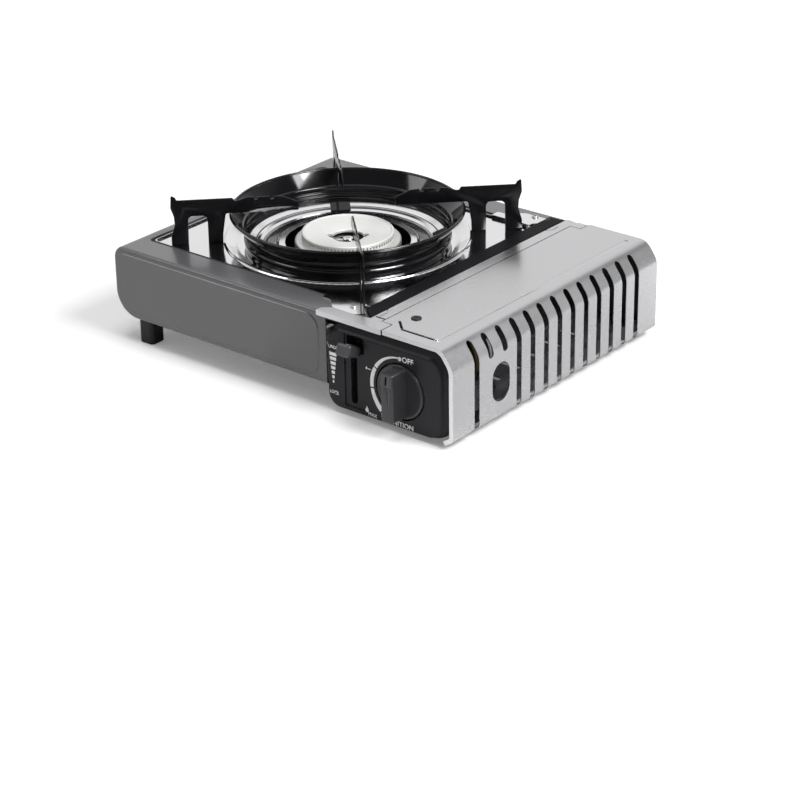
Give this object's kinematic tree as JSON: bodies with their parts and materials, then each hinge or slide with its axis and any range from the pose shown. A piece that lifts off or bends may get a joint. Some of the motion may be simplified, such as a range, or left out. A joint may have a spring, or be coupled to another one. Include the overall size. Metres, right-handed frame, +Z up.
{
  "type": "butane cassette stove",
  "caption": "Portable tabletop gas stove with a wind-shielded burner, lift-off pan support, knob and lock lever, and a cartridge bay under a hinged slotted steel lid.",
  "frame": {"origin": "on the table under the middle of the stove's overall box", "axes": "+X towards the cartridge bay (the user's right), +Y to the back, +Z up"},
  "size_m": [0.34, 0.278, 0.118],
  "materials": {
    "grey_paint": "mid-grey gloss stove paint on pressed steel",
    "satin_stainless": "satin stainless sheet",
    "mirror_stainless": "bright pressed stainless",
    "zinc_steel": "bright zinc-plated steel",
    "black_enamel": "gloss black vitreous enamel",
    "panel_plastic": "satin charcoal moulding",
    "knob_plastic": "satin charcoal moulding",
    "foot_plastic": "black moulding",
    "white_plastic": "natural acetal",
    "ceramic": "glazed white ceramic",
    "lead_rubber": "silicone sleeve",
    "rubber": "nitrile ring",
    "brass": "turned brass",
    "cast_aluminium": "sand-blasted casting",
    "burner_aluminium": "light satin aluminium",
    "burner_steel": "light satin steel",
    "chrome": "polished"
  },
  "bodies": {
    "stove": {"casing": "grey_paint", "bottom_plate": "zinc_steel", "partition_wall": "zinc_steel", "bay_floor": "grey_paint", "cartridge_supports": "zinc_steel", "front_bulkhead": "zinc_steel", "hinge_pins": "zinc_steel", "hinge_strip": "satin_stainless", "heat_rail": "black_enamel", "control_panel": "panel_plastic", "piezo_igniter": "white_plastic", "ignition_lead": "lead_rubber", "electrode": "ceramic", "electrode_clip": "zinc_steel", "lever_bracket": "zinc_steel", "yoke_guide": "zinc_steel", "regulator_body": "cast_aluminium", "regulator_cover": "zinc_steel", "regulator_screws": "zinc_steel", "inlet_seat": "brass", "inlet_seal": "rubber", "gas_nozzle": "brass", "mixer_tube": "cast_aluminium", "burner_bowl": "burner_steel", "burner_bracket": "zinc_steel", "burner_cap": "burner_aluminium", "cap_screw": "chrome", "drip_tray": "mirror_stainless", "tray_screws": "zinc_steel", "burner_feet": "foot_plastic", "bay_feet": "foot_plastic", "foot_screws": "zinc_steel"},
    "lid": {"lid": "satin_stainless", "lid_plug": "foot_plastic"},
    "knob": {"control_knob": "knob_plastic", "valve_spindle": "brass", "ignition_cam": "white_plastic"},
    "lock_lever": {"lock_lever_cap": "knob_plastic", "lever_arm": "zinc_steel", "lever_shaft": "zinc_steel"},
    "locking_yoke": {"locking_yoke": "zinc_steel"},
    "pan_support": {"wind_ring": "black_enamel", "pan_fin_front_left": "black_enamel", "pan_fin_front_right": "black_enamel", "pan_fin_rear_left": "black_enamel", "pan_fin_rear_right": "black_enamel"}
  },
  "joints": [
    {"name": "lid_hinge", "type": "hinge", "parent": "stove", "child": "lid", "pos_m": [0.09, 0.008, 0.0757], "axis": [0, -1, 0], "range_deg": [0, 95]},
    {"name": "knob_turn", "type": "hinge", "parent": "stove", "child": "knob", "pos_m": [0.1205, -0.123, 0.0345], "axis": [0, -1, 0], "range_deg": [0, 160]},
    {"name": "lever_pivot", "type": "hinge", "parent": "stove", "child": "lock_lever", "pos_m": [0.0775, -0.085, 0.036], "axis": [1, 0, 0], "range_deg": [0, 50]},
    {"name": "yoke_slide", "type": "slide", "parent": "stove", "child": "locking_yoke", "axis": [0, -1, 0], "range_m": [0, 0.0078]},
    {"name": "pan_support_lift", "type": "slide", "parent": "stove", "child": "pan_support", "axis": [0, 0, 1], "range_m": [0, 0.06]}
  ],
  "couplings": [
    {"joint": "yoke_slide", "follows": "lever_pivot", "m_per_rad": 0.00872}
  ]
}
